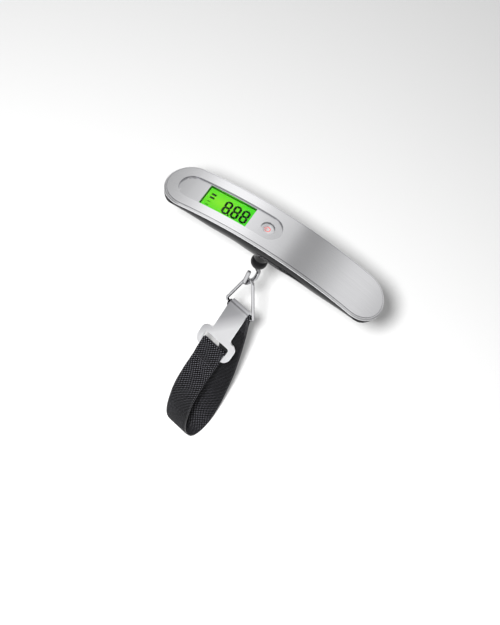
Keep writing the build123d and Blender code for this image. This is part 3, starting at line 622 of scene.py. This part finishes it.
# ---- webbing and thread --------------------------------------------------------------------------
@dataclass
class StrapLoop:
    """One length of webbing: folded round the ring's bar, down the back and up the front to the clip."""

    width: float = 20 * MM
    thickness: float = 1.3 * MM
    cell: float = 1.0 * MM        # one yarn, across and along
    weave_depth: float = 0.13 * MM
    selvage: float = 0.9 * MM
    edge_weave: float = 0.35      # how much of the weave's depth is left beside the selvage
    clip_pitch: float = math.radians(30.0)
    clip_start: float = 3.35 * MM
    clip_half: float = 0.6 * MM
    slot_end: float = 34.2 * MM
    bar_wrap: float = 1.85 * MM
    sways: tuple[Triple, ...] = ((105 * MM, 215 * MM, -0.9 * MM), (215 * MM, 335 * MM, 1.3 * MM))
    blend_start: Pair = (-6 * MM, 133 * MM)
    blend_end: Pair = (26 * MM, 118 * MM)
    place: Matrix = field(default_factory=hanging_frame)

    def clip_point(self, distance: float, offset: float) -> Pair:
        """Side-view point on the clip plate: distance down it and offset out of its middle."""
        sine, cosine = math.sin(self.clip_pitch), math.cos(self.clip_pitch)
        out = self.clip_start + offset
        return (out * cosine + distance * sine, distance * cosine - out * sine)

    def route(self) -> list[Pair]:
        """Side-view middle line, as (forward, down) from the ring's bar."""
        wrap = [(self.bar_wrap * math.cos(a), -self.bar_wrap * math.sin(a)) for a in
                [math.radians(d) for d in range(-24, 205, 19)]]
        back = [(-1.6, 8.0), (-4.2, 30.0), (-6.4, 62.0), (-7.0, 100.0), (-3.6, 131.0), (4.6, 148.6)]
        front = [(14.5, 151.6), (25.0, 145.6), (37.6, 123.0), (44.6, 93.0), (43.0, 65.0), (36.0, 50.6)]
        layer = self.thickness / 2 + 0.03 * MM
        stand = self.clip_half + 0.14 * MM + self.thickness / 2
        fold = self.slot_end - 0.45 * MM - self.thickness / 2
        turn = self.clip_point(fold + stand * 0.2, 0.0)
        sine, cosine = math.sin(self.clip_pitch), math.cos(self.clip_pitch)
        bend = []
        for degrees in range(15, 180, 25):
            a = math.radians(degrees)
            out, down = stand * math.cos(a), -stand * math.sin(a)
            bend.append((turn[0] + out * cosine + down * sine, turn[1] - out * sine + down * cosine))
        over = [self.clip_point(47.4 * MM, layer)]
        over += [self.clip_point(d * MM, stand) for d in (42.4, 37.0)]
        under = [self.clip_point(d * MM, -stand) for d in (37.0, 42.4)]
        under += [self.clip_point(47.2 * MM, -layer)]
        tail = [(-2.05 * MM, 23.8 * MM), (-1.2 * MM, 15.0 * MM), (-0.1 * MM, 8.0 * MM), (1.2 * MM, 3.0 * MM)]
        loop = [(u * MM, v * MM) for u, v in back + front]
        return tail + wrap + loop + over + bend + under + [(32.0 * MM, 48.4 * MM)]

    def sampled(self) -> tuple[list[Vector], list[Vector], list[float]]:
        """Even samples of the middle line.

        Returns:
            Points, outward normals (in the side view) and distances along the webbing.
        """
        knots = [Vector((u, v)) for u, v in self.route()]
        fine: list[Vector] = []
        for i in range(len(knots) - 1):
            p0, p1, p2 = knots[max(i - 1, 0)], knots[i], knots[i + 1]
            p3 = knots[min(i + 2, len(knots) - 1)]
            d01, d12, d23 = [max((b - a).length, 1e-6) ** 0.5 for a, b in ((p0, p1), (p1, p2), (p2, p3))]
            m1 = p2 - p1
            if i > 0:
                m1 = m1 + d12 * ((p1 - p0) / d01 - (p2 - p0) / (d01 + d12))
            m2 = p2 - p1
            if i < len(knots) - 2:
                m2 = m2 + d12 * ((p3 - p2) / d23 - (p3 - p1) / (d12 + d23))
            pieces = max(4, int((p2 - p1).length / (0.15 * MM)))
            for k in range(pieces):
                s = k / pieces
                fine.append((2 * s**3 - 3 * s**2 + 1) * p1 + (s**3 - 2 * s**2 + s) * m1
                            + (-2 * s**3 + 3 * s**2) * p2 + (s**3 - s**2) * m2)
        fine.append(knots[-1])
        lengths = [0.0]
        for a, b in zip(fine, fine[1:]):
            lengths.append(lengths[-1] + (b - a).length)
        count = 2 * int(lengths[-1] / self.cell)
        points, along, k = [], [], 0
        for i in range(count + 1):
            want = lengths[-1] * i / count
            while k < len(fine) - 2 and lengths[k + 1] < want:
                k += 1
            share = (want - lengths[k]) / max(lengths[k + 1] - lengths[k], 1e-9)
            points.append(fine[k].lerp(fine[k + 1], min(1.0, share)))
            along.append(want)
        normals = []
        for i in range(count + 1):
            run = points[min(i + 1, count)] - points[max(i - 1, 0)]
            normals.append(Vector((run.y, -run.x)).normalized())
        return points, normals, along

    def sway(self, distance: float) -> float:
        """How far the limp webbing stands sideways at a distance along it."""
        shift = 0.0
        for start, end, reach in self.sways:
            share = min(max((distance - start) / (end - start), 0.0), 1.0)
            shift += reach * math.sin(math.pi * share) ** 2
        return shift

    def world(self, across: float, side: Vector) -> Vector:
        """A side-view point at a place across the webbing, in the shared frame."""
        return self.place @ Vector((across, -side.x, -side.y))

    def build(self) -> list[bpy.types.Object]:
        """Make the webbing with its plain weave in the mesh."""
        points, normals, along = self.sampled()
        columns = 2 * round((self.width - 2 * self.selvage) / self.cell)
        inner = self.width / 2 - self.selvage
        step = 2 * inner / columns
        places = [-inner + i * step for i in range(columns + 1)]
        half = self.thickness / 2
        verts: list[Vector] = []
        flats: list[Pair] = []
        for row, (centre, normal, distance) in enumerate(zip(points, normals, along)):
            ring: list[Pair] = []
            for side in (1, -1):
                run = places if side == 1 else places[::-1]
                for column, across in enumerate(run):
                    number = column if side == 1 else columns - column
                    weave = self.weave_depth * (1 if (row + number) % 2 else -1)
                    if number in (0, columns):
                        weave *= self.edge_weave
                    ring.append((across, side * (half - self.weave_depth + weave)))
                for turn in (50, 90, 130):
                    a = math.radians(turn)
                    edge = side * (inner + self.selvage * math.sin(a) * (1.0 if turn == 90 else 0.92))
                    ring.append((edge, side * half * 0.86 * math.cos(a)))
            for across, lift in ring:
                verts.append(self.world(across + self.sway(distance), centre + normal * lift))
                flats.append((across / MM, distance / MM))
        around = 2 * (columns + 4)
        faces = []
        for row in range(len(points) - 1):
            here, there = row * around, (row + 1) * around
            for i in range(around):
                j = (i + 1) % around
                faces.append((here + i, here + j, there + j, there + i))
        for row, flip in ((0, False), (len(points) - 1, True)):
            base = row * around
            for i in range(around // 2 - 1):
                quad = [base + i, base + i + 1, base + around - 2 - i - 1, base + around - 2 - i]
                faces.append(tuple(quad[::-1] if not flip else quad))
        made = piece("strap_webbing", verts, faces)
        mesh = bmesh.new()
        mesh.from_mesh(made.data)
        bmesh.ops.recalc_face_normals(mesh, faces=mesh.faces)
        mesh.to_mesh(made.data)
        mesh.free()
        layer = made.data.uv_layers.new(name="webbing_mm")
        for loop in made.data.loops:
            layer.data[loop.index].uv = flats[loop.vertex_index]
        dress(made, FINISHES[Part.WEBBING])
        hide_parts("strap_back", "strap_front")
        start = self.world(0.0, Vector(self.blend_start))
        end = self.world(0.0, Vector(self.blend_end))
        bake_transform(made)
        LOG.info("webbing is %.0f mm long", along[-1] / MM)
        return [made]


@dataclass
class Stitching:
    """Rows of thread across the webbing, as one instanced stitch along a line."""

    strap: StrapLoop
    stitches: int = 13
    spread: float = 16.5 * MM
    stitch_length: float = 1.05 * MM
    thread_radius: float = 0.2 * MM
    stand_off: float = 0.68 * MM
    front_rows: tuple[float, ...] = (47.6 * MM, 50.4 * MM)
    back_rows: tuple[Pair, ...] = ((0.55 * MM, 9.5 * MM), (-1.3 * MM, 21.5 * MM))

    def tree(self, part: Part) -> bpy.types.NodeTree:
        """Geometry nodes that lay stitches along the input line.

        Args:
            part: Finish of the thread.

        Returns:
            The node group, with named inputs for its sizes.
        """
        group = bpy.data.node_groups.new("stitch_row", "GeometryNodeTree")
        face = group.interface
        face.new_socket("Line", in_out="INPUT", socket_type="NodeSocketGeometry")
        count = face.new_socket("Stitch Count", in_out="INPUT", socket_type="NodeSocketInt")
        count.default_value = self.stitches
        for label, value in (("Stitch Length", self.stitch_length), ("Thread Radius", self.thread_radius)):
            face.new_socket(label, in_out="INPUT", socket_type="NodeSocketFloat").default_value = value
        face.new_socket("Thread", in_out="OUTPUT", socket_type="NodeSocketGeometry")
        given = add(group, "NodeGroupInput")
        line = add(group, "GeometryNodeMeshToCurve", {"Mesh": given.outputs["Line"]})
        spots = add(group, "GeometryNodeCurveToPoints", {
            "Curve": line.outputs[0], "Count": given.outputs["Stitch Count"]}, mode="COUNT")
        core = add(group, "GeometryNodeMeshUVSphere", {"Segments": 10, "Rings": 8, "Radius": 1.0})
        radius, length = given.outputs["Thread Radius"], given.outputs["Stitch Length"]
        shape = add(group, "ShaderNodeCombineXYZ", {0: radius, 1: radius})
        halved = add(group, "ShaderNodeMath", {0: length, 1: 0.5}, operation="MULTIPLY")
        group.links.new(halved.outputs[0], shape.inputs[2])
        stitch = add(group, "GeometryNodeTransform", {"Geometry": core.outputs[0], "Scale": shape.outputs[0]})
        spread = add(group, "GeometryNodeInstanceOnPoints", {
            "Points": spots.outputs["Points"], "Instance": stitch.outputs[0],
            "Rotation": spots.outputs["Rotation"]})
        real = add(group, "GeometryNodeRealizeInstances", {0: spread.outputs[0]})
        smooth = add(group, "GeometryNodeSetShadeSmooth", {0: real.outputs[0]})
        painted = add(group, "GeometryNodeSetMaterial", {
            "Geometry": smooth.outputs[0], "Material": FINISHES[part]})
        add(group, "NodeGroupOutput", {0: painted.outputs[0]})
        return group

    def rows(self, name: str, spots: Sequence[Pair], body: str, node: str) -> bpy.types.Object:
        """Make rows of stitches across the webbing.

        Args:
            name: Name of the piece.
            spots: Side-view places of the rows.
            body: CAD body the thread moves with.
            node: CAD node that it stands for.

        Returns:
            The piece.
        """
        points, edges = [], []
        for forward, down in spots:
            for side in (-1, 1):
                points.append(self.strap.world(side * self.spread / 2, Vector((forward, down))))
            edges.append((len(points) - 2, len(points) - 1))
        mesh = bpy.data.meshes.new(name + "_lines")
        mesh.from_pydata([tuple(p) for p in points], edges, [])
        holder = bpy.data.objects.new(name + "_lines", mesh)
        bpy.context.scene.collection.objects.link(holder)
        modifier = holder.modifiers.new("stitches", "NODES")
        modifier.node_group = self.tree(Part.THREAD)
        sizes = {"Stitch Count": self.stitches, "Stitch Length": self.stitch_length,
                 "Thread Radius": self.thread_radius}
        for item in modifier.node_group.interface.items_tree:
            if item.in_out == "INPUT" and item.name in sizes:
                modifier[item.identifier] = sizes[item.name]
        ready = holder.evaluated_get(bpy.context.evaluated_depsgraph_get())
        made = bpy.data.objects.new(name, bpy.data.meshes.new_from_object(ready))
        bpy.context.scene.collection.objects.link(made)
        bpy.data.objects.remove(holder)
        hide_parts(node)
        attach(made, body)
        return made

    def build(self) -> list[bpy.types.Object]:
        """Make the thread of both folds."""
        lift = self.stand_off + self.strap.thickness / 2
        front = [self.strap.clip_point(distance, lift) for distance in self.front_rows]
        return [self.rows("strap_back_thread", self.back_rows, "strap", "strap_back_stitching"),
                self.rows("strap_front_thread", front, "clip", "strap_front_stitching")]


# ---- CAD nodes ---------------------------------------------------------------------------------------
@dataclass
class CadFinishes:
    """Gives every CAD node the finish of its slot in the record."""

    def build(self) -> list[bpy.types.Object]:
        """Dress the nodes.

        Returns:
            The dressed nodes.
        """
        slots = {entry["node"]: entry["material_slot"] for entry in frame["record"]["subparts"]}
        dressed = []
        for node, target in frame["nodes"].items():
            dress(target, FINISHES[Part[slots[node].upper()]])
            dressed.append(target)
        return dressed


# ---- studio ------------------------------------------------------------------------------------------
@dataclass
class Studio:
    """Camera, floor and soft light."""

    azimuth_deg: float = 6.13
    elevation_deg: float = 57.81
    roll_deg: float = 27.5
    distance: float = 0.788
    aim: Triple = (0.0112, -0.0431, -0.0277)
    lens_mm: float = 72.84
    floor_drop: float = 1 * MM
    floor_size: float = 8.0
    room_levels: tuple[Pair, ...] = (
        (0.0, 0.5), (0.2, 0.5), (0.26, 0.78), (0.31, 1.28), (0.39, 1.28), (0.425, 0.92), (0.49, 0.84),
        (0.512, 0.36), (0.55, 0.38), (0.6, 0.62), (0.64, 0.92), (0.69, 0.92), (0.74, 0.66), (1.0, 0.5))
    key_size: float = 0.05
    key_power: float = 27.0
    key_shift: Triple = (-0.034, 0.014, 0.0)

    def camera(self) -> None:
        """Make the camera."""
        azimuth, elevation = math.radians(self.azimuth_deg), math.radians(self.elevation_deg)
        away = math.cos(elevation)
        back = Vector((math.sin(azimuth) * away, -math.cos(azimuth) * away, math.sin(elevation)))
        level = Vector((math.cos(azimuth), math.sin(azimuth), 0))
        upright = back.cross(level)
        roll = Matrix.Rotation(math.radians(self.roll_deg), 3, "Z")
        turned = Matrix((level, upright, back)).transposed() @ roll
        lens = bpy.data.cameras.new("camera")
        lens.lens = self.lens_mm
        lens.sensor_width = 36.0
        lens.clip_end = 50.0
        made = bpy.data.objects.new("camera", lens)
        made.matrix_world = Matrix.Translation(Vector(self.aim) + back * self.distance) @ turned.to_4x4()
        bpy.context.scene.collection.objects.link(made)
        bpy.context.scene.camera = made

    def floor(self) -> None:
        """Make the pale floor just under the loop."""
        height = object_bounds()[0].z - self.floor_drop
        half = self.floor_size / 2
        places = [(x * half, y * half, height) for x, y in ((-1, -1), (1, -1), (1, 1), (-1, 1))]
        made = piece("floor", places, [(0, 1, 2, 3)], False)
        dress(made, Finish("pale_paper_sweep", "ABABAB", roughness=0.9, specular=0.0, mottle=0.0).material())
        made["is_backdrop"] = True

    def key(self) -> None:
        """Make the soft key light, a small disk just left of and above the camera."""
        light = bpy.data.lights.new("key", "AREA")
        light.shape = "DISK"
        light.size = self.key_size
        light.energy = self.key_power
        made = bpy.data.objects.new("key", light)
        made.visible_glossy = False
        made.matrix_world = bpy.context.scene.camera.matrix_world @ Matrix.Translation(self.key_shift)
        bpy.context.scene.collection.objects.link(made)

    def sky(self) -> None:
        """Make the even room light, darker in one band so that polished metal has something to show."""
        world = bpy.data.worlds.new("room")
        world.use_nodes = True
        tree = world.node_tree
        tree.nodes.clear()
        direction = add(tree, "ShaderNodeTexCoord").outputs["Generated"]
        split = add(tree, "ShaderNodeSeparateXYZ", {0: direction})
        span = add(tree, "ShaderNodeMapRange", {0: split.outputs[0], 1: -1.0, 2: 1.0})
        room = add(tree, "ShaderNodeBackground", {0: ramp(tree, span.outputs[0], self.room_levels), 1: 1.0})
        add(tree, "ShaderNodeOutputWorld", {0: room.outputs[0]})
        bpy.context.scene.world = world

    def build(self) -> None:
        """Set the studio up."""
        self.camera()
        self.floor()
        self.key()
        self.sky()
        bpy.context.scene.view_settings.view_transform = "Standard"


def main() -> None:
    """Build every sub-assembly and the studio."""
    logging.basicConfig(level=logging.INFO, format="%(name)s: %(message)s")
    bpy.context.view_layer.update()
    cover = Cover()
    strap = StrapLoop()
    for part in (CadFinishes(), Display(cover), ButtonIcon(cover), strap, Stitching(strap)):
        for made in part.build():
            LOG.info("%s: %s", type(part).__name__, made.name)
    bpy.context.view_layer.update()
    Studio().build()


if __name__ == "__main__":
    main()
